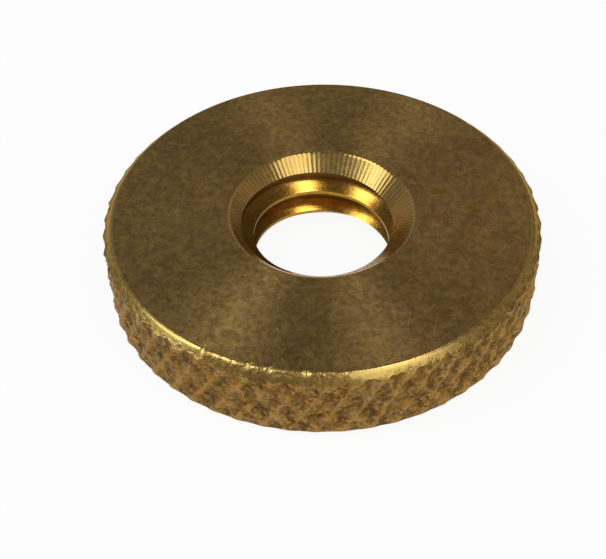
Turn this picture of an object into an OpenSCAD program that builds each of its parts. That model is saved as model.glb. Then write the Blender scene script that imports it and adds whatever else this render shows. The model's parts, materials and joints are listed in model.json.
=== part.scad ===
// Knurled brass thumb nut, turned from round bar: a flat disc with a diamond knurl
// round its rim, a chamfer at both edges and a tapped hole through its middle.
// The model stands on its lower face, with Z up the axis of the thread.
// The hole is drawn at its tapping diameter, which is the crest of the thread.

/* [Disc] */
// Outside diameter, over the crests of the knurl
disc_d = 25.4; // [20:0.1:40]
// Thickness from face to face
disc_h = 4.76; // [3.8:0.02:10]
// Width of the 45 degree chamfer round both faces, measured along the radius
rim_chamfer = 0.6; // [0.35:0.05:1.2]

/* [Thread] */
// Major diameter of the thread
thread_d = 9.525; // [8:0.025:9.8]
// Pitch of the thread
thread_pitch = 1.5875; // [1.1:0.0125:2]

/* [Countersinks] */
// Diameter of the upper countersink at the face
top_sink_d = 10.55; // [9.6:0.05:12]
// Included angle of the upper countersink
top_sink_angle = 90; // [75:1:120]
// Diameter of the lower countersink at the face
bottom_sink_d = 10.05; // [9.2:0.05:11.5]
// Included angle of the lower countersink
bottom_sink_angle = 90; // [75:1:120]

/* [Knurl] */
// Distance between neighbouring grooves, measured square to them
knurl_pitch = 1.25; // [0.9:0.05:2.5]
// Angle between the grooves and the axis of the nut
knurl_angle = 30; // [20:1:45]
// Depth of the grooves below the outside diameter
knurl_depth = 0.3; // [0.1:0.02:0.5]
// Width of the flat crest left between neighbouring grooves
knurl_flat = 0.12; // [0.04:0.01:0.4]

/* [Hidden] */
$fn = 180;

disc_r = disc_d / 2;
// The tapping drill is one pitch smaller than the thread
bore_r = (thread_d - thread_pitch) / 2;
top_sink_r = top_sink_d / 2;
bottom_sink_r = bottom_sink_d / 2;
top_sink_depth = (top_sink_r - bore_r) / tan(top_sink_angle / 2);
bottom_sink_depth = (bottom_sink_r - bore_r) / tan(bottom_sink_angle / 2);

// The knurl is a lattice of columns round the rim and rows up it. Every second point
// is the crossing of two grooves, and the points between them are the tips of pyramids.
groove_r = disc_r - knurl_depth;
tip_r = groove_r + knurl_depth * knurl_pitch / (knurl_pitch - knurl_flat);
groove_count = round(2 * PI * disc_r * cos(knurl_angle) / knurl_pitch);
column_count = 2 * groove_count;
column_angle = 360 / column_count;
row_h = PI * disc_r / (groove_count * tan(knurl_angle));
row_count = ceil(disc_h / row_h) + 1;
first_row_z = (disc_h - row_count * row_h) / 2;

knurled_nut();

// The finished nut: the turned section, with the knurl bitten into its rim
module knurled_nut() {
    color([0.72, 0.56, 0.24])
    intersection() {
        turned_blank();
        knurled_bar();
    }
}

// Section of the nut from the bore outwards, turned round the axis
module turned_blank() {
    rotate_extrude()
    polygon([
        [bore_r, bottom_sink_depth],
        [bottom_sink_r, 0],
        [disc_r - rim_chamfer, 0],
        [disc_r, rim_chamfer],
        [disc_r, disc_h - rim_chamfer],
        [disc_r - rim_chamfer, disc_h],
        [top_sink_r, disc_h],
        [bore_r, disc_h - top_sink_depth],
    ]);
}

// Bar with the full knurl on it, a little longer than the nut at both ends
module knurled_bar() {
    polyhedron(
        points = concat(lattice_points(), [end_centre(0), end_centre(row_count)]),
        faces = concat(lattice_faces(), end_faces(0), end_faces(row_count))
    );
}

// A crossing of two grooves has an even sum of row and column
function is_crossing(row, column) = (row + column) % 2 == 0;

function lattice_radius(row, column) = is_crossing(row, column) ? groove_r : tip_r;

function lattice_points() = [
    for (row = [0:row_count], column = [0:column_count - 1])
        let (r = lattice_radius(row, column), a = column * column_angle)
        [r * cos(a), r * sin(a), first_row_z + row * row_h]
];

function end_centre(row) = [0, 0, first_row_z + row * row_h];

// Number of a lattice point in the list of points
function point_at(row, column) = row * column_count + column % column_count;

// Every cell between two rows is split along the groove that joins its two crossings
function lattice_faces() = [
    for (row = [0:row_count - 1], column = [0:column_count - 1])
        let (
            low = point_at(row, column),
            low_next = point_at(row, column + 1),
            high = point_at(row + 1, column),
            high_next = point_at(row + 1, column + 1)
        )
        each is_crossing(row, column)
            ? [[low, high, high_next], [low, high_next, low_next]]
            : [[low, high, low_next], [low_next, high, high_next]]
];

// A fan of triangles from the axis closes each end of the bar
function end_faces(row) =
    let (centre = (row_count + 1) * column_count + (row == 0 ? 0 : 1))
    [
        for (column = [0:column_count - 1])
            let (here = point_at(row, column), next = point_at(row, column + 1))
            row == 0 ? [centre, here, next] : [centre, next, here]
    ];
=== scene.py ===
"""Finished look of a knurled brass thumb nut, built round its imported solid.

The nut is made here in the order of the lathe work: a turned blank, chatter left by the
countersink, the diamond knurl rolled into the rim, and the thread cut by the tap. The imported
solid gives the overall size and the bore. The finer sizes are fields of the classes.
"""

import json
import logging
import math
from dataclasses import dataclass, field
from enum import Enum

import bmesh
import bpy
from mathutils import Matrix, Vector


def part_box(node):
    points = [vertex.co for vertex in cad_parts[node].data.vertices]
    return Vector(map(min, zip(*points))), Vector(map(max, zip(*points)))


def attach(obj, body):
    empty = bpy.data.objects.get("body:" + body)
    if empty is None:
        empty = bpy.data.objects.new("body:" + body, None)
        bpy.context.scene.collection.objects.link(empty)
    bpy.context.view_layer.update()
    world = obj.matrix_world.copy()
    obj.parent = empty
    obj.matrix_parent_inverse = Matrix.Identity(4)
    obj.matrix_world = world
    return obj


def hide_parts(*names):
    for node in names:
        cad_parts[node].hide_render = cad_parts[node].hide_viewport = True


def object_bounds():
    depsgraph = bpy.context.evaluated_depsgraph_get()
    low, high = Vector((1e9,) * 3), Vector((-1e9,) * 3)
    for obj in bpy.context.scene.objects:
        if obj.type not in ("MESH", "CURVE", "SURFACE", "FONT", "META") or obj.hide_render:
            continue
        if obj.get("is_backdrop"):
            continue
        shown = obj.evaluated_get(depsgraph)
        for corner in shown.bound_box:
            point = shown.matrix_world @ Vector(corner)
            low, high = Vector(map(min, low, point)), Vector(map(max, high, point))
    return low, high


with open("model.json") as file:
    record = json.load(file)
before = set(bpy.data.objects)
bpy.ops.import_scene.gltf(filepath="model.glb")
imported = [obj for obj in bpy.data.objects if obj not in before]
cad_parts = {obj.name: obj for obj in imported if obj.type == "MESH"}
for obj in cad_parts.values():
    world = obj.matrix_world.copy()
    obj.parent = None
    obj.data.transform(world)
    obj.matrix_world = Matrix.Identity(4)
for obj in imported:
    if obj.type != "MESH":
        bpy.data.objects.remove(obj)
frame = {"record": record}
CAD_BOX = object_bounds()

LOG = logging.getLogger("thumb_nut")
MM = 0.001
FULL_TURN = 2.0 * math.pi
CHATTER_MARKS = 110
LATHE_FEED_MM = 0.12
NODE = "knurled_nut"
PIECE = "knurled_thumb_nut"

Socket = bpy.types.NodeSocket
Number = Socket | float
Colour = tuple[float, float, float]
Span = tuple[float, float]
Place = tuple[float, float, float]


class Finish(Enum):
    """The finishes of the nut, one for each kind of tool that made a surface."""

    FACE = "faced_brass"
    CHAMFER = "chamfered_brass"
    SINK = "countersunk_brass"
    KNURL = "knurled_brass"
    THREAD = "threaded_brass"


# --------------------------------------------------------------------------- node helpers


@dataclass(frozen=True)
class Noise:
    """A noise: its patches per mm, how many finer layers it has and how strong they are."""

    scale: float
    detail: float
    roughness: float = 0.5


@dataclass(frozen=True)
class Sweep:
    """A noise drawn out round the axis or down a cone, with a scale for each of the two ways."""

    round_scale: float
    across_scale: float
    detail: float = 2.0
    roughness: float = 0.65


class NodeWriter:
    """Adds nodes to a tree and joins them, so that a formula reads as a few short lines."""

    def __init__(self, tree: bpy.types.NodeTree) -> None:
        """Keeps the tree.

        Args:
            tree: The tree that the nodes go into.
        """
        self.tree = tree

    def node(self, kind: str, inputs: dict | None = None, **settings: object) -> bpy.types.Node:
        """Adds one node.

        Args:
            kind: The node's type name.
            inputs: Values or output sockets for its inputs, by socket name or number.
            **settings: The node's own properties.

        Returns:
            The new node.
        """
        made = self.tree.nodes.new(kind)
        for name, value in settings.items():
            setattr(made, name, value)
        for key, value in (inputs or {}).items():
            self.feed(made.inputs[key], value)
        return made

    def feed(self, socket: Socket, value: object) -> None:
        """Joins an output socket to an input, or sets the input to a plain value.

        Args:
            socket: The input.
            value: The output socket or the plain value.
        """
        if isinstance(value, Socket):
            self.tree.links.new(value, socket)
        else:
            socket.default_value = value

    def math(self, operation: str, *values: object) -> Socket:
        """Adds a Math node and returns its result."""
        kind = "ShaderNodeMath"
        return self.node(kind, dict(enumerate(values)), operation=operation).outputs[0]

    def vectors(self, operation: str, *values: object) -> Socket:
        """Adds a Vector Math node and returns the vector that it gives."""
        kind = "ShaderNodeVectorMath"
        return self.node(kind, dict(enumerate(values)), operation=operation).outputs["Vector"]

    def measured(self, operation: str, *values: object) -> Socket:
        """Adds a Vector Math node and returns the number that it gives."""
        kind = "ShaderNodeVectorMath"
        return self.node(kind, dict(enumerate(values)), operation=operation).outputs["Value"]

    def xyz(self, vector: Socket) -> tuple[Socket, ...]:
        """Splits a vector into its three parts."""
        return tuple(self.node("ShaderNodeSeparateXYZ", {0: vector}).outputs)

    def vector(self, x: object, y: object, z: object) -> Socket:
        """Joins three numbers into a vector."""
        return self.node("ShaderNodeCombineXYZ", {0: x, 1: y, 2: z}).outputs[0]

    def scaled(self, vector: Socket, scale: object) -> Socket:
        """Multiplies a vector by a number."""
        sizes = {0: vector, "Scale": scale}
        return self.node("ShaderNodeVectorMath", sizes, operation="SCALE").outputs["Vector"]

    def polar(self, vector: Socket) -> tuple[Socket, Socket]:
        """Finds where a place lies as seen from the axis.

        Args:
            vector: The place.

        Returns:
            The level direction of the place from the axis, and its distance from it.
        """
        x, y, _ = self.xyz(vector)
        level = self.vector(x, y, 0.0)
        return self.vectors("NORMALIZE", level), self.measured("LENGTH", level)

    def towards(self, unit: Socket, bearing: float) -> Socket:
        """Gives how nearly a level direction points along a bearing in degrees, from 1 to -1."""
        turn = math.radians(bearing)
        return self.measured("DOT_PRODUCT", unit, (math.cos(turn), math.sin(turn), 0.0))

    def noise(self, place: Socket, noise: Noise) -> Socket:
        """Adds a noise texture and returns its value, which stays near a half."""
        sizes = {"Scale": noise.scale, "Detail": noise.detail, "Roughness": noise.roughness}
        return self.node("ShaderNodeTexNoise", {"Vector": place, **sizes}).outputs["Fac"]

    def swept(self, unit: Socket, radius: Socket, sweep: Sweep) -> Socket:
        """Adds noise, about zero, with one scale round the axis and another away from it.

        Args:
            unit: The level direction of the place from the axis.
            radius: Its distance from the axis, in mm.
            sweep: The noise.

        Returns:
            The noise's value less a half.
        """
        across = self.vector(0.0, 0.0, self.math("MULTIPLY", radius, sweep.across_scale))
        fan = self.vectors("ADD", self.scaled(unit, sweep.round_scale), across)
        value = self.noise(fan, Noise(1.0, sweep.detail, sweep.roughness))
        return self.math("SUBTRACT", value, 0.5)

    def ranged(self, value: object, source: Span, target: Span = (0.0, 1.0)) -> Socket:
        """Maps a range of values to another range, and keeps within it.

        Args:
            value: The value.
            source: The range that it comes from.
            target: The range that it goes to.

        Returns:
            The mapped value.
        """
        ends = dict(zip(("From Min", "From Max", "To Min", "To Max"), (*source, *target)))
        return self.node("ShaderNodeMapRange", {"Value": value, **ends}).outputs[0]

    def near(self, value: Socket, middle: float, width: float) -> Socket:
        """Gives one where a value is at the middle, and nothing from a width to either side."""
        away = self.math("ABSOLUTE", self.math("SUBTRACT", value, middle))
        return self.ranged(away, (0.0, width), (1.0, 0.0))

    def mixed(self, share: object, first: object, second: object) -> Socket:
        """Mixes two colours.

        Args:
            share: How much of the second there is.
            first: One colour, a socket or a linear colour.
            second: The other.

        Returns:
            The mixed colour.
        """
        mix = self.node("ShaderNodeMix", {"Factor": share}, data_type="RGBA")
        for name, colour in (("A_Color", first), ("B_Color", second)):
            socket = next(entry for entry in mix.inputs if entry.identifier == name)
            self.feed(socket, (*colour, 1.0) if isinstance(colour, tuple) else colour)
        return next(entry for entry in mix.outputs if entry.identifier == "Result_Color")

    def marked(self, name: str, kind: str) -> Socket:
        """Reads a named attribute of the geometry."""
        node = "GeometryNodeInputNamedAttribute"
        return self.node(node, {"Name": name}, data_type=kind).outputs["Attribute"]

    def mark(self, geometry: Socket, name: str) -> Socket:
        """Marks every face of a geometry with a named attribute, which is true.

        Args:
            geometry: The geometry.
            name: The attribute's name.

        Returns:
            The marked geometry.
        """
        sizes = {"Geometry": geometry, "Name": name, "Value": True}
        kind = "GeometryNodeStoreNamedAttribute"
        return self.node(kind, sizes, data_type="BOOLEAN", domain="FACE").outputs["Geometry"]


class GeometryRecipe:
    """A Geometry Nodes tree with named inputs, and the modifier that runs it once."""

    def __init__(self, name: str, sizes: dict[str, float]) -> None:
        """Makes an empty tree with a geometry input and output and one input for each size.

        Args:
            name: The tree's name.
            sizes: Its named inputs and the values that the modifier gives them.
        """
        self.sizes = sizes
        self.tree = bpy.data.node_groups.new(name, "GeometryNodeTree")
        self.tree.is_modifier = True
        interface = self.tree.interface
        interface.new_socket("Geometry", in_out="OUTPUT", socket_type="NodeSocketGeometry")
        interface.new_socket("Geometry", in_out="INPUT", socket_type="NodeSocketGeometry")
        for size in sizes:
            interface.new_socket(size, in_out="INPUT", socket_type="NodeSocketFloat")
        self.write = NodeWriter(self.tree)
        self.inputs = self.write.node("NodeGroupInput").outputs

    def finish(self, geometry: Socket, selection: object, material: bpy.types.Material) -> None:
        """Ends the tree in Realize Instances and Set Material.

        Args:
            geometry: The socket that holds the finished geometry.
            selection: Which faces take the material: a socket, or True for all.
            material: The material that they take.
        """
        real = self.write.node("GeometryNodeRealizeInstances", {0: geometry})
        dressed = self.write.node(
            "GeometryNodeSetMaterial",
            {"Geometry": real.outputs[0], "Selection": selection, "Material": material},
        )
        self.write.node("NodeGroupOutput", {0: dressed.outputs[0]})

    def apply(self, piece: bpy.types.Object) -> None:
        """Runs the tree on a piece, keeps the result as its mesh and removes the modifier.

        Args:
            piece: The piece.
        """
        modifier = piece.modifiers.new(self.tree.name, "NODES")
        modifier.node_group = self.tree
        for item in self.tree.interface.items_tree:
            if item.in_out == "INPUT" and item.name in self.sizes:
                modifier[item.identifier] = self.sizes[item.name]
        graph = bpy.context.evaluated_depsgraph_get()
        result = bpy.data.meshes.new_from_object(
            piece.evaluated_get(graph), preserve_all_data_layers=True, depsgraph=graph
        )
        piece.modifiers.remove(modifier)
        old, piece.data = piece.data, result
        bpy.data.meshes.remove(old)
        bpy.data.node_groups.remove(self.tree)


# --------------------------------------------------------------------------- the turned blank


@dataclass(frozen=True)
class Corner:
    """A corner of the section. The surface that leaves it has the finish and the steps."""

    radius: float
    height: float
    rounding: float
    finish: Finish
    steps: int = 1


@dataclass(frozen=True)
class SectionPoint:
    """One point of the rounded section, and the finish of the strip that follows it."""

    radius: float
    height: float
    finish: Finish
    chatter: float = 0.0


@dataclass(frozen=True)
class Nick:
    """A small dent in the rim's upper edge: its bearing in degrees and its sizes in mm."""

    bearing: float
    width: float
    depth: float


@dataclass(frozen=True)
class TurnedBlank:
    """The disc as it leaves the lathe, before knurling and tapping. Lengths are in mm.

    A rounded corner has plain points beyond its arc, to hold the flats beside it flat. They
    lie at the hold reaches, in roundings from the corner. The countersink's drift ends at its
    own reach, and a nick at another, in roundings too.
    """

    disc_r: float
    height: float
    bore_r: float
    rim_chamfer: float = 0.6
    top_sink_r: float = 5.31
    top_sink_angle: float = 90.0
    top_sink_drift: tuple[float, float] = (0.02, -0.05)
    bottom_sink_r: float = 5.025
    bottom_sink_angle: float = 90.0
    edge_rounding: float = 0.045
    rubbed_rounding: float = 0.13
    lip_rounding: float = 0.085
    nicks: tuple[Nick, ...] = (
        Nick(239.7, 0.35, 0.045), Nick(252.0, 0.5, 0.04), Nick(257.0, 0.5, 0.05),
        Nick(266.3, 0.4, 0.06), Nick(41.0, 0.6, 0.05), Nick(148.0, 0.5, 0.04),
    )
    knurl_margin: float = 0.3
    columns: int = 880
    arc_steps: int = 3
    cone_steps: int = 10
    low_cone_steps: int = 4
    bore_steps: int = 2
    hold_reaches: tuple[float, ...] = (2.0, 3.0)
    drift_reach: float = 4.0
    nick_reach: float = 2.0

    def corners(self) -> list[Corner]:
        """Works out the corners of the section, from the bore outwards and back over the top.

        Returns:
            The corners in order round the closed section.
        """
        top_depth = self.cone_depth(self.top_sink_r, self.top_sink_angle)
        low_depth = self.cone_depth(self.bottom_sink_r, self.bottom_sink_angle)
        face_r = self.disc_r - self.rim_chamfer
        rim = self.disc_r + self.knurl_margin
        wall = self.rim_chamfer + self.knurl_margin
        top = self.height
        edge = self.edge_rounding
        return [
            Corner(self.bore_r, low_depth, 0.0, Finish.SINK, self.low_cone_steps),
            Corner(self.bottom_sink_r, 0.0, edge, Finish.FACE),
            Corner(face_r, 0.0, edge, Finish.CHAMFER),
            Corner(rim, wall, 0.0, Finish.KNURL),
            Corner(rim, top - wall, 0.0, Finish.CHAMFER),
            Corner(face_r, top, self.rubbed_rounding, Finish.FACE),
            Corner(self.top_sink_r, top, self.lip_rounding, Finish.SINK, self.cone_steps),
            Corner(self.bore_r, top - top_depth, 0.0, Finish.THREAD, self.bore_steps),
        ]

    def cone_depth(self, mouth_r: float, angle: float) -> float:
        """Works out how deep a countersink goes, from its mouth down to the bore."""
        return (mouth_r - self.bore_r) / math.tan(math.radians(angle / 2))

    def section(self) -> list[SectionPoint]:
        """Rounds the corners and divides the long lines.

        Returns:
            The points of the closed section.
        """
        corners = self.corners()
        points: list[SectionPoint] = []
        for number, corner in enumerate(corners):
            before = corners[number - 1]
            after = corners[(number + 1) % len(corners)]
            here = Vector((corner.radius, corner.height))
            back = (Vector((before.radius, before.height)) - here).normalized()
            ahead = (Vector((after.radius, after.height)) - here).normalized()
            if corner.rounding:
                points += self.rounded(corner, before.finish, here, back, ahead)
            else:
                points.append(SectionPoint(here.x, here.y, corner.finish))
            start = Vector((points[-1].radius, points[-1].height))
            run = Vector((after.radius, after.height)) + (-ahead * after.rounding) - start
            fluted = corner.finish is Finish.SINK and corner.height == self.height
            for step in range(1, corner.steps):
                share = step / corner.steps
                place = start + run * share
                ripple = math.sin(math.pi * share) ** 0.5 if fluted else 0.0
                points.append(SectionPoint(place.x, place.y, corner.finish, ripple))
        return points

    def rounded(self, corner: Corner, finish_before: Finish, here: Vector, back: Vector,
                ahead: Vector) -> list[SectionPoint]:
        """Turns one corner into a small arc, with hold points beyond each end.

        Args:
            corner: The corner to round.
            finish_before: The finish of the line that reaches it.
            here: The corner's place in the section.
            back: Direction towards the corner before it.
            ahead: Direction towards the corner after it.

        Returns:
            The points of the arc in order.
        """
        reach = corner.rounding
        finish = finish_before if corner.finish is Finish.FACE else corner.finish
        found = [
            SectionPoint(*(here + back * reach * far), finish_before)
            for far in reversed(self.hold_reaches)
        ]
        for step in range(self.arc_steps + 1):
            share = step / self.arc_steps
            from_back = here + back * reach * (1 - share)
            from_ahead = here + ahead * reach * share
            place = from_back.lerp(from_ahead, share)
            found.append(SectionPoint(place.x, place.y, finish))
        found[-1] = SectionPoint(place.x, place.y, corner.finish)
        found += [
            SectionPoint(*(here + ahead * reach * far), corner.finish) for far in self.hold_reaches
        ]
        return found

    def drift(self, point: SectionPoint) -> Vector:
        """Works out how far the hand-held countersink has run off the axis at a point.

        Args:
            point: A point of the section.

        Returns:
            The shift, which grows from nothing at the bore to its full size at the mouth.
        """
        drift_end = self.top_sink_r + self.drift_reach * self.lip_rounding
        if point.radius > drift_end or point.height < self.height / 2:
            return Vector((0.0, 0.0, 0.0))
        share = (point.radius - self.bore_r) / (self.top_sink_r - self.bore_r)
        return Vector((*self.top_sink_drift, 0.0)) * max(0.0, min(1.0, share))

    def dent(self, point: SectionPoint, angle: float) -> float:
        """Works out how deep the nicks are at a point.

        Args:
            point: A point of the section.
            angle: Its bearing in radians.

        Returns:
            The depth, which is nothing away from the rim's upper edge.
        """
        corner_r = self.disc_r - self.rim_chamfer
        off_corner = math.hypot(point.radius - corner_r, point.height - self.height)
        near = max(0.0, 1.0 - off_corner / (self.nick_reach * self.rubbed_rounding))
        deepest = 0.0
        for nick in self.nicks:
            off_middle = self.disc_r * (angle - math.radians(nick.bearing))
            deepest = max(deepest, nick.depth * (1.0 - (2 * off_middle / nick.width) ** 2))
        return near * deepest

    def build(self, slots: dict[Finish, int]) -> bpy.types.Object:
        """Turns the section round the axis.

        Args:
            slots: The number of each finish's material slot.

        Returns:
            The blank, as a closed mesh.
        """
        section = self.section()
        mesh = bmesh.new()
        chatter = mesh.verts.layers.float.new("chatter")
        rings = []
        for column in range(self.columns):
            angle = FULL_TURN * column / self.columns
            ring = [mesh.verts.new(self.place(point, angle)) for point in section]
            for vertex, point in zip(ring, section):
                vertex[chatter] = point.chatter
            rings.append(ring)
        count = len(section)
        for column, ring in enumerate(rings):
            beside = rings[(column + 1) % self.columns]
            for number in range(count):
                after = (number + 1) % count
                face = mesh.faces.new((ring[number], beside[number], beside[after], ring[after]))
                face.material_index = slots[section[number].finish]
        bmesh.ops.recalc_face_normals(mesh, faces=mesh.faces)
        data = bpy.data.meshes.new(PIECE)
        mesh.to_mesh(data)
        mesh.free()
        blank = bpy.data.objects.new(PIECE, data)
        bpy.context.scene.collection.objects.link(blank)
        return blank

    def place(self, point: SectionPoint, angle: float) -> Vector:
        """Turns a point of the section to its place on the blank.

        Args:
            point: The point.
            angle: The bearing that it is turned to, in radians.

        Returns:
            Its place in metres, with the nicks and the drift.
        """
        dent = self.dent(point, angle)
        radius = point.radius - dent
        across = Vector((radius * math.cos(angle), radius * math.sin(angle), point.height - dent))
        return (across + self.drift(point)) * MM


# --------------------------------------------------------------------------- repeated forms


@dataclass(frozen=True)
class CountersinkChatter:
    """The fluting that a chattering countersink leaves round its cone. Lengths are in mm."""

    marks: int = CHATTER_MARKS
    depth: float = 0.002
    strength: Noise = Noise(16.0, 3.0)

    def cut(self, piece: bpy.types.Object, material: bpy.types.Material) -> None:
        """Ripples the cone, which is where the piece's chatter attribute is above nothing.

        Args:
            piece: The blank.
            material: The finish of the cone.
        """
        recipe = GeometryRecipe(
            "countersink_chatter", {"Marks": self.marks, "Depth": self.depth * MM}
        )
        write, sizes = recipe.write, recipe.inputs
        x, y, _ = write.xyz(write.node("GeometryNodeInputPosition").outputs[0])
        angle = write.math("ARCTAN2", y, x)
        unit = write.vector(write.math("COSINE", angle), write.math("SINE", angle), 0.0)
        wave = write.math("SINE", write.math("MULTIPLY", angle, sizes["Marks"]))
        mask = write.marked("chatter", "FLOAT")
        lift = write.math("MULTIPLY", wave, write.noise(unit, self.strength))
        lift = write.math("MULTIPLY", lift, sizes["Depth"])
        lift = write.math("MULTIPLY", lift, mask)
        offset = write.scaled(write.node("GeometryNodeInputNormal").outputs[0], lift)
        moved = write.node(
            "GeometryNodeSetPosition", {"Geometry": sizes["Geometry"], "Offset": offset}
        )
        recipe.finish(moved.outputs[0], write.math("GREATER_THAN", mask, 0.0), material)
        recipe.apply(piece)


@dataclass(frozen=True)
class Wheel:
    """One knurling wheel: the lean of its grooves and how deep they and its ghosts go, in mm.

    The lean is the node operation that joins the turn and the rise: subtracted, the grooves
    climb as the angle grows, and added, they fall.
    """

    name: str
    lean: str
    depth: float
    ghost_depth: float


@dataclass(frozen=True)
class RimKnurl:
    """The diamond knurl: two crossing sets of grooves round the rim. Lengths are in mm.

    Each wheel presses hollow grooves, which leave a net of thin ridges, and a pit is deepest
    where two grooves cross. A wheel that slips from turn to turn leaves ghost tracks, finer
    and closer, in the hollows of the other one.
    """

    disc_r: float
    height: float
    pitch: float = 1.25
    angle: float = 30.0
    wheels: tuple[Wheel, ...] = (
        Wheel("Rising", "SUBTRACT", 0.12, 0.02),
        Wheel("Falling", "ADD", 0.07, 0.06),
    )
    groove_hollow: float = 2.6
    ghost_tracks: int = 3
    pit_depth: float = 0.1
    pit_sharpness: float = 1.4
    slip: Noise = Noise(0.9, 2.0)
    slip_span: Span = (0.36, 0.62)
    slip_start: float = 1.3
    slip_shift: float = 3.7
    tear: float = 0.07
    torn: Noise = Noise(2.6, 1.5, 0.55)
    torn_span: Span = (0.3, 0.7)
    worn_edge: float = 0.06
    worn_reach: float = 0.55
    worn_spread: float = 3.0
    end_fade: float = 0.2
    end_reach: float = 0.5
    crest_gap: float = 0.004
    crest_blend: float = 0.02
    edge_margin: float = 0.1
    steps: int = 16

    @property
    def grooves(self) -> int:
        """The number of grooves that each wheel leaves."""
        around = FULL_TURN * self.disc_r
        return round(around * math.cos(math.radians(self.angle)) / self.pitch)

    @property
    def row_height(self) -> float:
        """How far apart the rows of diamonds are."""
        return math.pi * self.disc_r / (self.grooves * math.tan(math.radians(self.angle)))

    @property
    def rows(self) -> int:
        """The number of rows of faces on the bar, which stands out past both ends of the rim."""
        reach = self.height / 2 + self.edge_margin
        return math.ceil(reach / self.row_height * self.steps) * 2

    def sizes(self) -> dict[str, float]:
        """Works out the tree's named inputs, with lengths in metres.

        Returns:
            The values by name.
        """
        worn_end = self.height / 2 - self.worn_reach
        worn_start = self.height / 2 - self.edge_margin - self.worn_spread * self.worn_reach
        return {
            "Grooves": self.grooves,
            "Row Height": self.row_height * MM,
            "Phase": (math.ceil(self.height / self.row_height) + 1) / 2,
            "Middle": self.height / 2 * MM,
            "Radius": (self.disc_r - self.crest_gap) * MM,
            "Groove Hollow": self.groove_hollow,
            "Ghost Tracks": self.ghost_tracks,
            "Pit Depth": self.pit_depth * MM,
            "Pit Sharpness": self.pit_sharpness,
            "Tear": self.tear * MM,
            "Worn Edge": self.worn_edge * MM,
            "Worn Start": worn_start * MM,
            "Worn End": worn_end * MM,
            "End Fade": self.end_fade,
            "End Start": (worn_end - self.end_reach) * MM,
            **{f"{wheel.name} Depth": wheel.depth * MM for wheel in self.wheels},
            **{f"{wheel.name} Ghosts": wheel.ghost_depth * MM for wheel in self.wheels},
        }

    def roll(self, piece: bpy.types.Object, material: bpy.types.Material) -> None:
        """Leaves of the piece what lies inside a bar with the knurl on it.

        Args:
            piece: The blank, which stands a little proud of the knurl all round.
            material: The finish of the knurl.
        """
        recipe = GeometryRecipe("rim_knurl", self.sizes())
        write, sizes = recipe.write, recipe.inputs
        bar = write.node(
            "GeometryNodeMeshCylinder",
            {
                "Vertices": self.grooves * self.steps,
                "Side Segments": self.rows,
                "Radius": self.disc_r * MM,
                "Depth": self.rows * self.row_height / self.steps * MM,
            },
        ).outputs["Mesh"]
        x, y, z = write.xyz(write.node("GeometryNodeInputPosition").outputs[0])
        rise = write.math("ADD", write.math("DIVIDE", z, sizes["Row Height"]), sizes["Phase"])
        lean = write.math("DIVIDE", write.math("MULTIPLY", rise, math.pi), sizes["Grooves"])
        angle = write.math("ADD", write.math("ARCTAN2", y, x), lean)
        turns = write.math("MULTIPLY", write.math("DIVIDE", angle, FULL_TURN), sizes["Grooves"])
        unit = write.vector(write.math("COSINE", angle), write.math("SINE", angle), 0.0)
        height = write.math("ADD", z, sizes["Middle"])
        height_mm = write.math("DIVIDE", height, MM)
        rim = write.scaled(unit, self.disc_r)
        rim = write.vectors("ADD", rim, write.vector(0.0, 0.0, height_mm))
        half_rise = write.math("MULTIPLY", rise, 0.5)
        tracks = [write.math(wheel.lean, turns, half_rise) for wheel in self.wheels]
        radius = self.radius(write, sizes, tracks, rim, write.math("ABSOLUTE", z))
        place = write.vectors("ADD", write.scaled(unit, radius), write.vector(0.0, 0.0, height))
        bar = write.node("GeometryNodeSetPosition", {"Geometry": bar, "Position": place}).outputs[0]
        bar = write.node("GeometryNodeTriangulate", {"Mesh": bar}, quad_method="FIXED").outputs[0]
        bar = write.mark(bar, "knurled")
        both = write.node("GeometryNodeMeshBoolean", operation="INTERSECT", solver="EXACT")
        write.feed(both.inputs["Mesh 2"], sizes["Geometry"])
        write.feed(both.inputs["Mesh 2"], bar)
        recipe.finish(both.outputs[0], write.marked("knurled", "BOOLEAN"), material)
        recipe.apply(piece)

    def radius(self, write: NodeWriter, sizes: bpy.types.NodeOutputs, tracks: list[Socket],
               rim: Socket, off_middle: Socket) -> Socket:
        """Works out how far from the axis the knurled surface lies.

        Args:
            write: The writer of the tree.
            sizes: The tree's named inputs.
            tracks: For each wheel, the count of its grooves up to this place.
            rim: The place on the plain rim, in mm.
            off_middle: How far the place is above or below the middle of the rim.

        Returns:
            The radius, in metres.
        """
        cut = self.pressed(write, sizes, tracks, rim)
        ends = {"Value": off_middle, "From Max": sizes["Worn End"]}
        worn = write.node(
            "ShaderNodeMapRange",
            {**ends, "From Min": sizes["Worn Start"], "To Max": sizes["Worn Edge"]},
            interpolation_type="SMOOTHSTEP",
        ).outputs[0]
        fade = write.node(
            "ShaderNodeMapRange",
            {**ends, "From Min": sizes["End Start"], "To Max": sizes["End Fade"]},
        ).outputs[0]
        cut = write.math("MULTIPLY", cut, write.math("SUBTRACT", 1.0, fade))
        tear = write.ranged(write.noise(rim, self.torn), self.torn_span)
        tear = write.math("MULTIPLY", tear, sizes["Tear"])
        crest = write.math("SUBTRACT", write.math("SUBTRACT", sizes["Radius"], tear), worn)
        radius = write.math("SUBTRACT", sizes["Radius"], cut)
        radius = write.math("SUBTRACT", radius, tear)
        return write.math("SMOOTH_MIN", radius, crest, self.crest_blend * MM)

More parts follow.
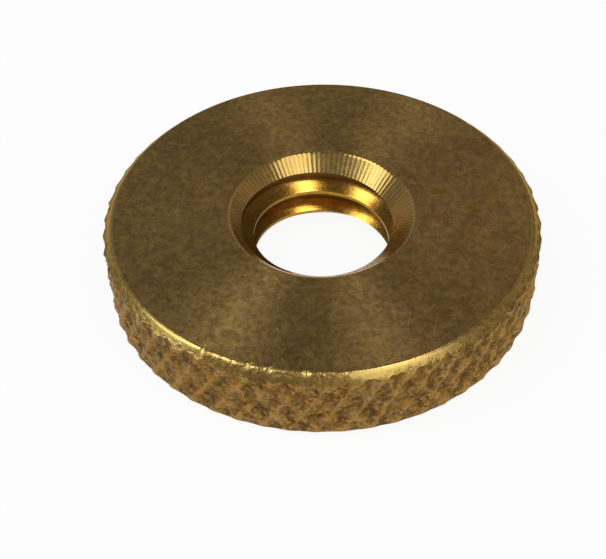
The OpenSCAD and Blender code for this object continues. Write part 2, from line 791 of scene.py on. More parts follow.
    def pressed(self, write: NodeWriter, sizes: bpy.types.NodeOutputs, tracks: list[Socket],
                rim: Socket) -> Socket:
        """Works out how deep the wheels have pressed the rim.

        Args:
            write: The writer of the tree.
            sizes: The tree's named inputs.
            tracks: For each wheel, the count of its grooves up to this place.
            rim: The place on the plain rim, in mm.

        Returns:
            The depth, in metres.
        """
        ridges = [self.ridge(write, track) for track in tracks]
        hollows = [
            write.math("SUBTRACT", 1.0, write.math("POWER", ridge, sizes["Groove Hollow"]))
            for ridge in ridges
        ]
        pit = write.math("MULTIPLY", *(write.math("SUBTRACT", 1.0, ridge) for ridge in ridges))
        pit = write.math("POWER", pit, sizes["Pit Sharpness"])
        pit = write.math("MULTIPLY", pit, self.slipped(write, rim, len(tracks)))
        cut = write.math("MULTIPLY", pit, sizes["Pit Depth"])
        for number, wheel in enumerate(self.wheels):
            cut = write.math("MULTIPLY_ADD", hollows[number], sizes[f"{wheel.name} Depth"], cut)
            finer = write.math("MULTIPLY", tracks[number], sizes["Ghost Tracks"])
            ghosts = self.ridge(write, finer)
            ghosts = write.math("MULTIPLY", ghosts, self.slipped(write, rim, number))
            ghosts = write.math("MULTIPLY", ghosts, hollows[1 - number])
            cut = write.math("MULTIPLY_ADD", ghosts, sizes[f"{wheel.name} Ghosts"], cut)
        return cut

    def ridge(self, write: NodeWriter, track: Socket) -> Socket:
        """Folds a count of grooves into a ramp, from 0 in each groove to 1 on each ridge."""
        return write.math("MULTIPLY", write.math("PINGPONG", track, 0.5), 2.0)

    def slipped(self, write: NodeWriter, rim: Socket, number: int) -> Socket:
        """Varies the pressing from place to place, between nothing and full depth.

        Args:
            write: The writer of the tree.
            rim: The place on the plain rim, in mm.
            number: The number of the pattern, which shifts it.

        Returns:
            The share of the depth.
        """
        noise = write.node(
            "ShaderNodeTexNoise",
            {
                "Vector": rim,
                "W": self.slip_shift * number + self.slip_start,
                "Scale": self.slip.scale,
                "Detail": self.slip.detail,
            },
            noise_dimensions="4D",
        ).outputs["Fac"]
        return write.ranged(noise, self.slip_span)


@dataclass(frozen=True)
class TapThread:
    """The right-hand thread, cut out of the bore by a coil of the groove's own section.

    Lengths are in mm. The crest height is where the middle of the crest crosses the far
    side of the bore, at a quarter turn from the X axis.
    """

    bore_r: float
    major_r: float = 4.7625
    pitch: float = 1.5875
    crest: float = 2.63
    root_flat: float = 0.46
    flank_angle: float = 60.0
    overcut: float = 0.15
    turns: int = 7
    steps: int = 180

    def sizes(self) -> dict[str, float]:
        """Works out the tree's named inputs, with lengths in metres.

        Returns:
            The values by name.
        """
        slope = math.tan(math.radians(self.flank_angle / 2))
        root = self.root_flat / 2
        inner_r = self.bore_r - self.overcut
        quarter_rise = self.pitch / 4
        groove_at_start = self.crest - self.pitch / 2 - quarter_rise
        below = math.ceil((groove_at_start + self.pitch) / self.pitch) * self.pitch
        return {
            "Middle Radius": (inner_r + self.major_r) / 2 * MM,
            "Half Reach": (self.major_r - inner_r) / 2 * MM,
            "Root": root * MM,
            "Mouth": (root + (self.major_r - inner_r) * slope) * MM,
            "Length": self.turns * self.pitch * MM,
            "Start": (groove_at_start - below) * MM,
        }

    def cut(self, piece: bpy.types.Object, material: bpy.types.Material) -> None:
        """Takes the thread's groove out of the bore.

        Args:
            piece: The blank with its plain bore.
            material: The finish of the thread.
        """
        recipe = GeometryRecipe("tap_thread", self.sizes())
        write, sizes = recipe.write, recipe.inputs
        tap = write.mark(self.tap(write, sizes), "tapped")
        cut = write.node("GeometryNodeMeshBoolean", operation="DIFFERENCE", solver="EXACT")
        write.feed(cut.inputs["Mesh 1"], sizes["Geometry"])
        write.feed(cut.inputs["Mesh 2"], tap)
        recipe.finish(cut.outputs[0], write.marked("tapped", "BOOLEAN"), material)
        recipe.apply(piece)

    def tap(self, write: NodeWriter, sizes: bpy.types.NodeOutputs) -> Socket:
        """Makes the coil that the groove leaves room for.

        Args:
            write: The writer of the tree.
            sizes: The tree's named inputs.

        Returns:
            The coil, as a closed mesh round the axis.
        """
        spiral = {
            "Resolution": self.steps,
            "Rotations": float(self.turns),
            "Start Radius": sizes["Middle Radius"],
            "End Radius": sizes["Middle Radius"],
            "Height": sizes["Length"],
            "Reverse": True,
        }
        coil = write.node("GeometryNodeCurveSpiral", spiral).outputs[0]
        coil = write.node("GeometryNodeSetCurveNormal", {"Curve": coil}, mode="Z_UP").outputs[0]
        out, mouth, root = sizes["Half Reach"], sizes["Mouth"], sizes["Root"]
        inward, low_mouth, low_root = (
            write.math("MULTIPLY", size, -1.0) for size in (out, mouth, root)
        )
        points = ((inward, mouth), (inward, low_mouth), (out, low_root), (out, root))
        corners = {f"Point {n + 1}": write.vector(a, b, 0.0) for n, (a, b) in enumerate(points)}
        kind = "GeometryNodeCurvePrimitiveQuadrilateral"
        section = write.node(kind, corners, mode="POINTS").outputs[0]
        parts = {"Curve": coil, "Profile Curve": section, "Fill Caps": True}
        tap = write.node("GeometryNodeCurveToMesh", parts).outputs[0]
        moved = {"Geometry": tap, "Translation": write.vector(0.0, 0.0, sizes["Start"])}
        return write.node("GeometryNodeTransform", moved).outputs[0]


# --------------------------------------------------------------------------- finishes


@dataclass(frozen=True)
class Marks:
    """What the tools and the handling have left on a surface, and the light and shade painted into
    its tone and grime, as sockets or plain numbers.
    """

    tone: Number = 0.0
    gloss: Number = 0.0
    grime_and_shade: Number = 0.0
    relief: Number = 0.0


@dataclass(frozen=True)
class BrassFinish:
    """One finish of the brass.

    Colours are linear, scales are in patches per mm and depths are in mm. The tone runs from
    0, the dark brass, to 1, the light one, and the tone span is what part of the patches
    makes it. The film is the share of light that a dull skin throws back uncoloured.
    """

    dark: Colour
    light: Colour
    roughness: Span
    anisotropy: float = 0.0
    tangent_lean: float = 0.0
    patch: Noise = Noise(0.35, 6.0, 0.62)
    patch_share: float = 0.65
    grain: Noise = Noise(4.0, 4.0, 0.6)
    grain_span: Span = (0.3, 0.7)
    grain_depth: float = 0.004
    tone_span: Span = (0.36, 0.64)
    tarnish: float = 0.1
    tarnish_noise: Noise = Noise(2.0, 2.0, 0.6)
    tarnish_hue: float = -0.06
    tarnish_strength: float = 2.0
    grime_and_shade: Colour = (0.06, 0.032, 0.012)
    grime_roughness: float = 0.25
    film: float = 0.0
    edge_tint: Colour = (1.0, 0.88, 0.68)

    def material(self, name: str) -> bpy.types.Material:
        """Builds the material: two tones of brass, tarnish, uneven gloss, grime with painted shade,
        highlights painted into the tone, and a fine grain.

        Args:
            name: The material's name.

        Returns:
            The finished material.
        """
        made = bpy.data.materials.new(name)
        made.use_nodes = True
        tree = made.node_tree
        tree.nodes.clear()
        write = NodeWriter(tree)
        place = write.scaled(write.node("ShaderNodeTexCoord").outputs["Object"], 1.0 / MM)
        grain = write.noise(place, self.grain)
        marks = self.marks(write, place)
        rough = write.ranged(grain, self.grain_span, self.roughness)
        rough = write.math("SUBTRACT", rough, marks.gloss)
        rough = write.math("MULTIPLY_ADD", marks.grime_and_shade, self.grime_roughness, rough)
        relief = write.math("MULTIPLY_ADD", grain, self.grain_depth, marks.relief)
        bump = write.node("ShaderNodeBump", {"Height": relief, "Distance": MM, "Strength": 1.0})
        shader = write.node(
            "ShaderNodeBsdfPrincipled",
            {
                "Base Color": self.colour(write, place, grain, marks),
                "Metallic": 1.0 - self.film,
                "Roughness": rough,
                "Normal": bump.outputs[0],
                "Specular Tint": (*self.edge_tint, 1.0),
                "Anisotropic": self.anisotropy,
            },
        )
        if self.anisotropy:
            x, y, _ = write.xyz(place)
            x, y, _ = write.xyz(write.vectors("NORMALIZE", write.vector(x, y, 0.0)))
            write.feed(shader.inputs["Tangent"], write.vector(x, y, self.tangent_lean))
        write.node("ShaderNodeOutputMaterial", {"Surface": shader.outputs[0]})
        return made

    def colour(self, write: NodeWriter, place: Socket, grain: Socket, marks: Marks) -> Socket:
        """Mixes the brass, its tarnish, and its grime with the painted shade.

        Args:
            write: The writer of the material's tree.
            place: The place on the nut, in mm.
            grain: The grain's value there.
            marks: What the tools and the handling have left, with the painted light and shade.

        Returns:
            The colour.
        """
        patches = write.noise(place, self.patch)
        share = write.math("MULTIPLY", patches, self.patch_share)
        share = write.math("MULTIPLY_ADD", grain, 1.0 - self.patch_share, share)
        share = write.ranged(share, self.tone_span)
        share = write.math("ADD", share, marks.tone)
        brass = write.mixed(share, self.dark, self.light)
        crossed = write.vector(*reversed(write.xyz(place)))
        redness = write.math("SUBTRACT", write.noise(crossed, self.tarnish_noise), 0.5)
        hue = self.tarnish_hue * self.tarnish
        strength = self.tarnish_strength * self.tarnish
        tarnished = write.node(
            "ShaderNodeHueSaturation",
            {
                "Hue": write.math("MULTIPLY_ADD", redness, hue, 0.5),
                "Saturation": write.math("MULTIPLY_ADD", redness, strength, 1.0),
                "Color": brass,
            },
        ).outputs[0]
        # The grime colour goes on where there is grime and where shade is painted.
        return write.mixed(marks.grime_and_shade, tarnished, self.grime_and_shade)

    def marks(self, write: NodeWriter, place: Socket) -> Marks:
        """Leaves the surface as it is: finishes with marks of their own say so.

        Args:
            write: The writer of the material's tree. Not used here.
            place: The place on the nut, in mm. Not used here.

        Returns:
            The marks.
        """
        return Marks()


@dataclass(frozen=True)
class Scratch:
    """A scratch that stands out: its two ends on the nut and its width, in mm. The face's painted
    highlight takes the same shape.
    """

    start: Place
    end: Place
    width: float


@dataclass(frozen=True)
class FacedBrass(BrassFinish):
    """A faced surface: fine rings from the lathe, hairlines all ways, a few scratches and a painted
    highlight.

    A hairline is a noise drawn out along its way, which is in degrees from the X axis.
    """

    rings: Sweep = Sweep(1.6, 1 / LATHE_FEED_MM, 3.0)
    ring_tone: float = 0.5
    ring_depth: float = 0.002
    blotch: Noise = Noise(1.8, 2.0, 0.55)
    blotch_span: Span = (0.42, 0.72)
    blotch_reach: Span = (-0.12, 0.26)
    blotch_tone: float = 1.1
    blotch_gloss: float = 0.1
    hairline_ways: tuple[float, ...] = (12.0, 48.0, 81.0, 117.0, 158.0)
    hairline_scales: tuple[float, float, float] = (0.9, 14.0, 1.0)
    hairline_shift: float = 17.3
    hairline_span: Span = (0.65, 0.71)
    hairline_tone: float = 0.5
    hairline_depth: float = 0.003
    scratches: tuple[Scratch, ...] = ()
    painted_highlights: tuple[Scratch, ...] = ()
    painted_highlight_tone: float = 1.0

    def marks(self, write: NodeWriter, place: Socket) -> Marks:
        """Adds the rings, the blotches, the hairlines, the scratches and the painted highlights.

        Args:
            write: The writer of the material's tree.
            place: The place on the nut, in mm.

        Returns:
            The marks.
        """
        rings = write.swept(*write.polar(place), self.rings)
        blotches = write.noise(place, self.blotch)
        blotches = write.ranged(blotches, self.blotch_span, self.blotch_reach)
        lines: Number = 0.0
        for number, way in enumerate(self.hairline_ways):
            lines = write.math("MAXIMUM", lines, self.hairline(write, place, way, number))
        lines = write.math("MULTIPLY", lines, self.hairline_tone)
        for scratch in self.scratches:
            lines = write.math("ADD", lines, self.scratch(write, place, scratch))
        tone = write.math("MULTIPLY_ADD", rings, self.ring_tone, lines)
        tone = write.math("MULTIPLY_ADD", blotches, self.blotch_tone, tone)
        # The painted highlight is mottled by the blotches.
        mottled = write.ranged(blotches, self.blotch_reach, (0.0, self.painted_highlight_tone))
        for highlight_patch in self.painted_highlights:
            tone = write.math("MULTIPLY_ADD", self.scratch(write, place, highlight_patch), mottled, tone)
        relief = write.math("MULTIPLY", rings, self.ring_depth)
        relief = write.math("MULTIPLY_ADD", lines, -self.hairline_depth, relief)
        return Marks(tone, gloss=write.math("MULTIPLY", blotches, self.blotch_gloss), relief=relief)

    def hairline(self, write: NodeWriter, place: Socket, way: float, number: int) -> Socket:
        """Makes one set of short fine hairlines that run the same way.

        Args:
            write: The writer of the material's tree.
            place: The place on the nut, in mm.
            way: The direction of the lines, in degrees from the X axis.
            number: The set's number, which shifts its pattern.

        Returns:
            One on a line and nothing beside it.
        """
        turned = write.node(
            "ShaderNodeVectorRotate", {"Vector": place, "Angle": math.radians(-way)},
            rotation_type="Z_AXIS",
        ).outputs[0]
        shift = (self.hairline_shift * number, 0.0, 0.0)
        drawn = write.vectors("MULTIPLY_ADD", turned, self.hairline_scales, shift)
        return write.ranged(write.noise(drawn, Noise(1.0, 1.0)), self.hairline_span)

    def scratch(self, write: NodeWriter, place: Socket, scratch: Scratch) -> Socket:
        """Draws one scratch by its distance from the line between its ends.

        Args:
            write: The writer of the material's tree.
            place: The place on the nut, in mm.
            scratch: The scratch.

        Returns:
            One on the scratch and nothing beside it.
        """
        start = Vector(scratch.start)
        run = Vector(scratch.end) - start
        offset = write.vectors("SUBTRACT", place, start)
        along = write.measured("DOT_PRODUCT", offset, run / run.length_squared)
        along = write.node("ShaderNodeClamp", {0: along}).outputs[0]
        nearest = write.scaled(write.vector(*run), along)
        away = write.measured("DISTANCE", offset, nearest)
        return write.ranged(away, (0.0, scratch.width), (1.0, 0.0))


@dataclass(frozen=True)
class CountersunkBrass(BrassFinish):
    """A countersink: streaks and chatter that run down it, the chatter's light and shade also
    painted, and a mouth lightened for wear and as a painted highlight.
    """

    streaks: Sweep = Sweep(18.0, 0.6)
    streak_depth: float = 0.004
    streak_tone: float = 0.7
    chatter_marks: int = CHATTER_MARKS
    chatter_depth: float = 0.002
    painted_chatter_shading: float = 0.35
    mouth_r: float = 5.31
    mouth_width: float = 0.06
    mouth_tone: float = 0.5
    mouth_gloss: float = 0.08

    def marks(self, write: NodeWriter, place: Socket) -> Marks:
        """Adds the streaks, the chatter with its painted light and shade, and the mouth, lightened
        for wear and as a painted highlight.

        Args:
            write: The writer of the material's tree.
            place: The place on the nut, in mm.

        Returns:
            The marks.
        """
        unit, radius = write.polar(place)
        streaks = write.swept(unit, radius, self.streaks)
        x, y, _ = write.xyz(unit)
        wave = write.math("MULTIPLY", write.math("ARCTAN2", y, x), self.chatter_marks)
        wave = write.math("SINE", wave)
        tone = write.math("MULTIPLY", streaks, self.streak_tone)
        # The chatter's light and shade painted into the tone.
        tone = write.math("MULTIPLY_ADD", wave, -self.painted_chatter_shading, tone)
        relief = write.math("MULTIPLY", streaks, self.streak_depth)
        relief = write.math("MULTIPLY_ADD", wave, self.chatter_depth, relief)
        # The mouth is lightened for wear and as a painted highlight.
        rubbed_and_lit = write.near(radius, self.mouth_r, self.mouth_width)
        return Marks(
            tone=write.math("MULTIPLY_ADD", rubbed_and_lit, self.mouth_tone, tone),
            gloss=write.math("MULTIPLY", rubbed_and_lit, self.mouth_gloss),
            relief=relief,
        )


@dataclass(frozen=True)
class ChamferedBrass(BrassFinish):
    """The rim chamfer: a rubbed upper edge, lightened both for wear and as a painted highlight,
    then metal that the knurling has burred.

    The burrs lie between two radii and spread by their own noise. In the sector about its bearing
    they reach further up, and their grime darkens the chamfer there as painted shade. Its reach is
    by the cosine of the angle off the bearing.
    """

    rings: Sweep = Sweep(1.5, 9.0)
    ring_depth: float = 0.002
    edge_r: float = 12.12
    edge_width: float = 0.14
    edge_tone: float = 0.6
    edge_gloss: float = 0.06
    burred: Span = (12.34, 12.6)
    burrs: Noise = Noise(2.2, 2.5, 0.6)
    burr_spread: float = 0.8
    burr_depths: Span = (0.00675, 0.045)
    burr_grime_span: Span = (0.35, 0.6)
    burr_grime: Span = (0.6, 1.0)
    burred_and_shaded_bearing: float = 259.0
    burred_and_shaded_reach: Span = (0.94, 0.955)
    burred_and_shaded_width: float = 0.34

    def marks(self, write: NodeWriter, place: Socket) -> Marks:
        """Adds the edge, lightened for wear and as a painted highlight, and the burrs, whose grime
        is painted shade in the sector.

        Args:
            write: The writer of the material's tree.
            place: The place on the nut, in mm.

        Returns:
            The marks.
        """
        unit, radius = write.polar(place)
        burrs = write.noise(place, self.burrs)
        spread = write.math("SUBTRACT", burrs, 0.5)
        spread = write.math("MULTIPLY_ADD", spread, self.burr_spread, radius)
        # In this sector the burrs reach further up, and their grime there is painted shade.
        side = write.towards(unit, self.burred_and_shaded_bearing)
        pressed = write.ranged(side, self.burred_and_shaded_reach, (0.0, self.burred_and_shaded_width))
        spread = write.math("ADD", spread, pressed)
        burred = write.ranged(spread, self.burred)
        # The upper edge is lightened for wear and as a painted highlight.
        rubbed_and_lit = write.near(radius, self.edge_r, self.edge_width)
        rings = write.swept(unit, radius, self.rings)
        relief = write.math("MULTIPLY", rings, self.ring_depth)
        burr_depth = write.ranged(burred, (0.0, 1.0), self.burr_depths)
        grimy_and_shaded = write.ranged(burrs, self.burr_grime_span, self.burr_grime)
        return Marks(
            tone=write.math("MULTIPLY", write.math("ADD", rings, rubbed_and_lit), self.edge_tone),
            gloss=write.math("MULTIPLY", rubbed_and_lit, self.edge_gloss),
            grime_and_shade=write.math("MULTIPLY", burred, grimy_and_shaded),
            relief=write.math("MULTIPLY_ADD", burrs, burr_depth, relief),
        )


@dataclass(frozen=True)
class KnurledBrass(BrassFinish):
    """The knurl: grime and painted shade in the pits, ridges lightened for wear and as a painted
    highlight, and a torn surface with glints painted into its colour.

    The depth below the crests is taken as a share of the pits' depth, and the tears shift it.
    """

    crest_r: float = 12.64
    pit_depth: float = 0.24
    tears: Noise = Noise(4.2, 2.5, 0.6)
    tear_depth: float = 0.05
    tear_spread: float = 0.7
    tear_tone: float = -1.2
    grimy_and_shaded: Span = (0.45, 1.2)
    most_darkening: float = 0.6
    rubbed_and_lit: Span = (0.4, 0.1)
    rubbed_and_lit_tone: float = 0.9
    glints: Noise = Noise(3.6, 1.0)
    glint_span: Span = (0.58, 0.66)
    painted_glint_tone: float = 1.5
    glint_gloss: float = 0.2

    def marks(self, write: NodeWriter, place: Socket) -> Marks:
        """Adds the grime and painted shade in the pits, the wear and painted highlight on the
        ridges, the tears and the painted glints.

        Args:
            write: The writer of the material's tree.
            place: The place on the nut, in mm.

        Returns:
            The marks.
        """
        _, radius = write.polar(place)
        # The depth below the crests darkens the pits with grime and painted shade, and lightens the
        # ridges for wear and as a painted highlight.
        depth = write.math("SUBTRACT", self.crest_r, radius)
        depth = write.math("DIVIDE", depth, self.pit_depth)
        tears = write.noise(place, self.tears)
        uneven = write.math("SUBTRACT", tears, 0.5)
        spread = write.math("MULTIPLY_ADD", uneven, self.tear_spread, depth)
        rubbed_and_lit = write.ranged(spread, self.rubbed_and_lit, (0.0, self.rubbed_and_lit_tone))
        # Glints painted into the colour as highlights; they are glossier too.
        glint = write.ranged(write.noise(place, self.glints), self.glint_span)
        tone = write.math("MULTIPLY_ADD", glint, self.painted_glint_tone, rubbed_and_lit)
        return Marks(
            tone=write.math("MULTIPLY_ADD", uneven, self.tear_tone, tone),
            gloss=write.math("MULTIPLY", glint, self.glint_gloss),
            grime_and_shade=write.ranged(spread, self.grimy_and_shaded, (0.0, self.most_darkening)),
            relief=write.math("MULTIPLY", tears, self.tear_depth),
        )


@dataclass(frozen=True)
class ThreadedBrass(BrassFinish):
    """The thread: bright flanks with fine lines from the tap, darker towards the root.

    About one bearing the flanks are darkened as painted shade. Its reach is by the cosine of the
    angle off it.
    """

    lines: Sweep = Sweep(1.2, 11.0)
    line_tone: float = 1.6
    line_depth: float = 0.003
    darker_root_radii: Span = (4.56, 4.76)
    shaded_bearing: float = 176.0
    shaded_reach: Span = (0.5, 0.95)
    most_darkening: float = 0.6

    def marks(self, write: NodeWriter, place: Socket) -> Marks:
        """Adds the lines, the darkening towards the root and the painted shade about one bearing.

        Args:
            write: The writer of the material's tree.
            place: The place on the nut, in mm.

        Returns:
            The marks.
        """
        unit, radius = write.polar(place)
        lines = write.swept(unit, radius, self.lines)
        # Darker towards the root.
        root = write.ranged(radius, self.darker_root_radii, (0.0, self.most_darkening))
        # Painted shade about one bearing.
        side = write.towards(unit, self.shaded_bearing)
        side = write.ranged(side, self.shaded_reach, (0.0, self.most_darkening))
        return Marks(
            tone=write.math("MULTIPLY", lines, self.line_tone),
            grime_and_shade=write.math("MAXIMUM", root, side),
            relief=write.math("MULTIPLY", lines, self.line_depth),
        )


FACE_SCRATCHES = (
    Scratch((-0.1, 10.0, 4.76), (2.6, 11.0, 4.76), 0.08),
    Scratch((8.1, 3.0, 4.76), (8.9, 3.6, 4.76), 0.09),
    Scratch((8.6, 3.4, 4.76), (8.5, 4.0, 4.76), 0.08),
)

# A bright patch on the face, painted as a highlight.
FACE_PAINTED_HIGHLIGHTS = (Scratch((-4.5, -7.6, 4.76), (-5.2, -8.9, 4.76), 1.1),)

FINISHES = {
    Finish.FACE: FacedBrass(
        dark=(0.275, 0.162, 0.059),
        light=(0.51, 0.323, 0.104),
        roughness=(0.28, 0.34),
        anisotropy=0.9,
        patch=Noise(0.3, 6.0, 0.62),
        patch_share=0.3,
        grain=Noise(3.2, 2.5, 0.6),
        grain_depth=0.002,
        tone_span=(0.36, 0.8),
        scratches=FACE_SCRATCHES,
        painted_highlights=FACE_PAINTED_HIGHLIGHTS,
    ),
    Finish.CHAMFER: ChamferedBrass(
        dark=(0.31, 0.19, 0.058),
        light=(0.54, 0.35, 0.108),
        roughness=(0.26, 0.38),
        patch_share=0.3,
        grime_and_shade=(0.25, 0.142, 0.04),
        grime_roughness=0.1,
        edge_tint=(0.62, 0.54, 0.42),
    ),
    Finish.SINK: CountersunkBrass(
        dark=(0.36, 0.21, 0.062),
        light=(0.54, 0.34, 0.105),
        roughness=(0.18, 0.28),
        anisotropy=0.6,
        film=0.12,
    ),
    Finish.KNURL: KnurledBrass(
        dark=(0.11, 0.058, 0.017),
        light=(0.36, 0.203, 0.057),
        roughness=(0.34, 0.48),
        patch=Noise(0.6, 6.0, 0.62),
        patch_share=0.4,
        grain=Noise(2.6, 1.0, 0.6),
        grime_and_shade=(0.06, 0.031, 0.013),
        tarnish=0.26,
        edge_tint=(0.88, 0.78, 0.62),
    ),
    Finish.THREAD: ThreadedBrass(
        dark=(0.28, 0.13, 0.024),
        light=(0.52, 0.28, 0.044),
        roughness=(0.2, 0.26),
        anisotropy=0.3,
        tangent_lean=0.5,
    ),
}


# --------------------------------------------------------------------------- the nut


@dataclass
class ThumbNut:
    """The whole nut, which is one piece."""

    blank: TurnedBlank
    knurl: RimKnurl
    thread: TapThread
    chatter: CountersinkChatter = field(default_factory=CountersinkChatter)
    sharp_angle: float = 32.0

    @classmethod
    def from_frame(cls) -> "ThumbNut":
        """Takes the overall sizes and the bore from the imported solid.

        Returns:
            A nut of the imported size.
        """
        low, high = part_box(NODE)
        disc_r = (high.x - low.x) / 2 / MM
        height = (high.z - low.z) / MM
        mounts = {mount["name"]: mount for mount in frame["record"]["mounts"]}
        bore_r = mounts["thread"]["dims"]["r_mm"]
        return cls(
            blank=TurnedBlank(disc_r, height, bore_r),
            knurl=RimKnurl(disc_r, height),
            thread=TapThread(bore_r),
        )

    def build(self) -> bpy.types.Object:
        """Makes the piece, dresses it and ties it to the frame.

        Returns:
            The finished piece.
        """
        materials = {finish: FINISHES[finish].material(finish.value) for finish in Finish}
        slots = {finish: number for number, finish in enumerate(Finish)}
        piece = self.blank.build(slots)
        for finish in Finish:
            piece.data.materials.append(materials[finish])
        self.chatter.cut(piece, materials[Finish.SINK])
        self.knurl.roll(piece, materials[Finish.KNURL])
        self.thread.cut(piece, materials[Finish.THREAD])
        piece.data.shade_smooth()
        piece.data.set_sharp_from_angle(angle=math.radians(self.sharp_angle))
        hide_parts(NODE)
        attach(piece, "root")
        return piece


# --------------------------------------------------------------------------- studio


@dataclass(frozen=True)
class SoftLight:
    """A softbox. Its bearing and elevation are seen from the nut.

    Angles are in degrees and lengths in metres. The pitch is how far its face looks down:
    nothing for a panel that stands upright.
    """

    name: str
    bearing: float
    elevation: float
    pitch: float
    roll: float
    distance: float
    width: float
    height: float
    brightness: float
    colour: Colour = (1.0, 1.0, 1.0)

    def place(self, target: Vector) -> None:
        """Hangs the light.

        Args:
            target: The point that its bearing and elevation are seen from, in metres.
        """
        lamp = bpy.data.lights.new(self.name, "AREA")
        lamp.shape = "RECTANGLE"
        lamp.size = self.width
        lamp.size_y = self.height
        lamp.color = self.colour
        lamp.energy = self.brightness * math.pi * self.width * self.height
        holder = bpy.data.objects.new(self.name, lamp)
        bpy.context.scene.collection.objects.link(holder)
        holder.location = target + self.way(self.elevation) * self.distance
        turn = self.way(self.pitch).to_track_quat("Z", "Y").to_matrix()
        holder.rotation_euler = (turn @ Matrix.Rotation(math.radians(self.roll), 3, "Z")).to_euler()

    def way(self, rise: float) -> Vector:
        """Finds the direction at the light's bearing that rises by an angle.

        Args:
            rise: The angle, in degrees.

        Returns:
            The direction, of length one.
        """
        bearing, rise = math.radians(self.bearing), math.radians(rise)
        level = math.cos(rise)
        return Vector((level * math.cos(bearing), level * math.sin(bearing), math.sin(rise)))


LIGHT_TINT = (0.92, 1.04, 0.98)

LIGHTS = (
    SoftLight(
        "right_light", bearing=307.0, elevation=49.3, pitch=0.0, roll=0.0,
        distance=0.539, width=0.3, height=0.383, brightness=2.35, colour=LIGHT_TINT,
    ),
    SoftLight(
        "right_top_light", bearing=334.0, elevation=71.0, pitch=71.0, roll=0.0,
        distance=1.0, width=0.22, height=0.24, brightness=9.0,
    ),
    SoftLight(
        "left_light", bearing=196.0, elevation=46.0, pitch=46.0, roll=-28.0,
        distance=0.5, width=0.16, height=0.38, brightness=3.8, colour=LIGHT_TINT,
    ),
    SoftLight(
        "left_top_light", bearing=184.0, elevation=64.0, pitch=64.0, roll=0.0,
        distance=0.45, width=0.1, height=0.12, brightness=7.0,
    ),
)


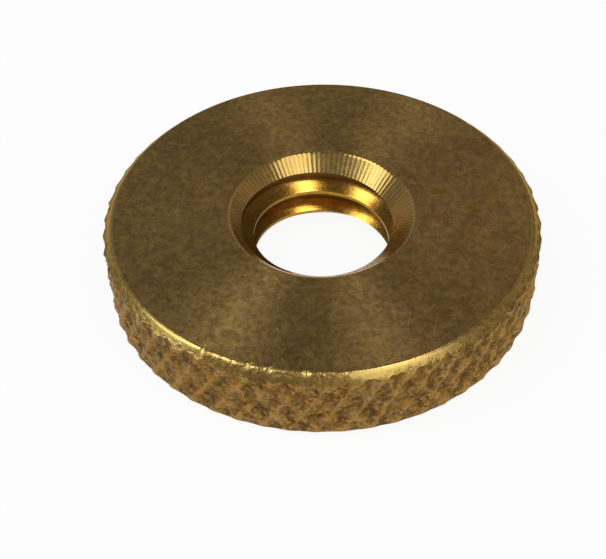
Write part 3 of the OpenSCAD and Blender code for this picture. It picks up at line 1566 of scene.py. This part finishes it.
@dataclass(frozen=True)
class Studio:
    """Floor, world, lights and camera. Lengths are in metres.

    The sky's spans are ranges of the parts of a direction, which run from -1 to 1. A strength
    or a dimming is the range that such a span turns into. What counts as behind leans to the
    right by a share.
    """

    target_height: float
    floor_size: float = 4.0
    floor_colour: Colour = (0.9, 0.9, 0.9)
    floor_glow: float = 0.92
    floor_gap: float = 0.00002
    cool_sky: Colour = (0.84, 0.89, 0.94)
    warm_sky: Colour = (1.2, 1.11, 1.0)
    warm_span: Span = (-0.2, 0.25)
    rise_span: Span = (0.4, 0.85)
    rise_strength: Span = (0.28, 0.11)
    side_span: Span = (0.2, 0.8)
    side_strength: Span = (0.0, 0.17)
    behind_lean: float = 0.3
    behind_span: Span = (0.55, 0.8)
    behind_dimming: Span = (0.0, 0.6)
    behind_rise: Span = (0.58, 0.42)
    camera_place: Place = (0.000315, -0.049572, 0.047806)
    camera_aim: Place = (-0.001074, -0.003202, 0.0)
    camera_roll: float = -1.704
    lens: float = 69.26
    nearest: float = 0.001

    def build(self) -> None:
        """Sets up everything round the nut."""
        self.floor()
        self.world()
        target = Vector((0.0, 0.0, self.target_height))
        for light in LIGHTS:
            light.place(target)
        self.camera()

    def floor(self) -> None:
        """Lays the pale floor just under the nut. Seen from below, it is clear."""
        place = (0.0, 0.0, -self.floor_gap)
        bpy.ops.mesh.primitive_plane_add(size=self.floor_size, location=place)
        plane = bpy.context.object
        plane.name = "floor"
        material = bpy.data.materials.new("floor")
        material.use_nodes = True
        tree = material.node_tree
        tree.nodes.clear()
        write = NodeWriter(tree)
        diffuse = write.node("ShaderNodeBsdfDiffuse", {"Color": (*self.floor_colour, 1.0)})
        glow = write.node("ShaderNodeEmission", {"Color": (1.0, 1.0, 1.0, 1.0), "Strength": 1.0})
        path = write.node("ShaderNodeLightPath").outputs
        seen = write.math("MAXIMUM", path["Is Camera Ray"], path["Is Glossy Ray"])
        seen = write.math("MAXIMUM", seen, path["Is Transmission Ray"])
        share = write.math("MULTIPLY", seen, self.floor_glow)
        lit = {0: share, 1: diffuse.outputs[0], 2: glow.outputs[0]}
        lit = write.node("ShaderNodeMixShader", lit).outputs[0]
        back = write.node("ShaderNodeNewGeometry").outputs["Backfacing"]
        clear = write.node("ShaderNodeBsdfTransparent").outputs[0]
        both = write.node("ShaderNodeMixShader", {0: back, 1: lit, 2: clear})
        write.node("ShaderNodeOutputMaterial", {"Surface": both.outputs[0]})
        plane.data.materials.append(material)
        plane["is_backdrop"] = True

    def world(self) -> None:
        """Makes a plain grey sky, dim overhead and behind, and a little warmer to the right."""
        world = bpy.data.worlds.new("studio")
        bpy.context.scene.world = world
        world.use_nodes = True
        tree = world.node_tree
        tree.nodes.clear()
        write = NodeWriter(tree)
        x, y, z = write.xyz(write.node("ShaderNodeTexCoord").outputs["Generated"])
        colour = write.mixed(write.ranged(x, self.warm_span), self.cool_sky, self.warm_sky)
        level = write.ranged(z, self.rise_span, self.rise_strength)
        sides = write.ranged(write.math("ABSOLUTE", y), self.side_span, self.side_strength)
        behind = write.math("MULTIPLY_ADD", x, self.behind_lean, y)
        behind = write.ranged(behind, self.behind_span, self.behind_dimming)
        behind = write.math("MULTIPLY", behind, write.ranged(z, self.behind_rise))
        strength = write.math("ADD", level, sides)
        strength = write.math("MULTIPLY", strength, write.math("SUBTRACT", 1.0, behind))
        background = write.node("ShaderNodeBackground", {"Color": colour, "Strength": strength})
        write.node("ShaderNodeOutputWorld", {"Surface": background.outputs[0]})

    def camera(self) -> None:
        """Places the camera."""
        lens = bpy.data.cameras.new("camera")
        lens.lens = self.lens
        lens.clip_start = self.nearest
        holder = bpy.data.objects.new("camera", lens)
        bpy.context.scene.collection.objects.link(holder)
        middle = Vector((0.0, 0.0, self.target_height))
        place = Vector(self.camera_place) + middle
        aim = Vector(self.camera_aim) + middle
        turn = (aim - place).to_track_quat("-Z", "Y").to_matrix()
        roll = Matrix.Rotation(math.radians(self.camera_roll), 3, "Z")
        holder.location = place
        holder.rotation_euler = (turn @ roll).to_euler()
        bpy.context.scene.camera = holder


def main() -> None:
    """Builds the nut and its studio, and works out the sizes of the solid and of the visual model.
    """
    logging.basicConfig(level=logging.INFO, format="%(name)s: %(message)s")
    bpy.context.scene.view_settings.view_transform = "Standard"
    nut = ThumbNut.from_frame()
    piece = nut.build()
    LOG.info("%s: %d faces", piece.name, len(piece.data.polygons))
    Studio(target_height=nut.blank.height / 2 * MM).build()
    sizes = {"cad": CAD_BOX, "visual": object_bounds()}
    sizes = {name: [list(corner) for corner in box] for name, box in sizes.items()}


if __name__ == "__main__":
    main()
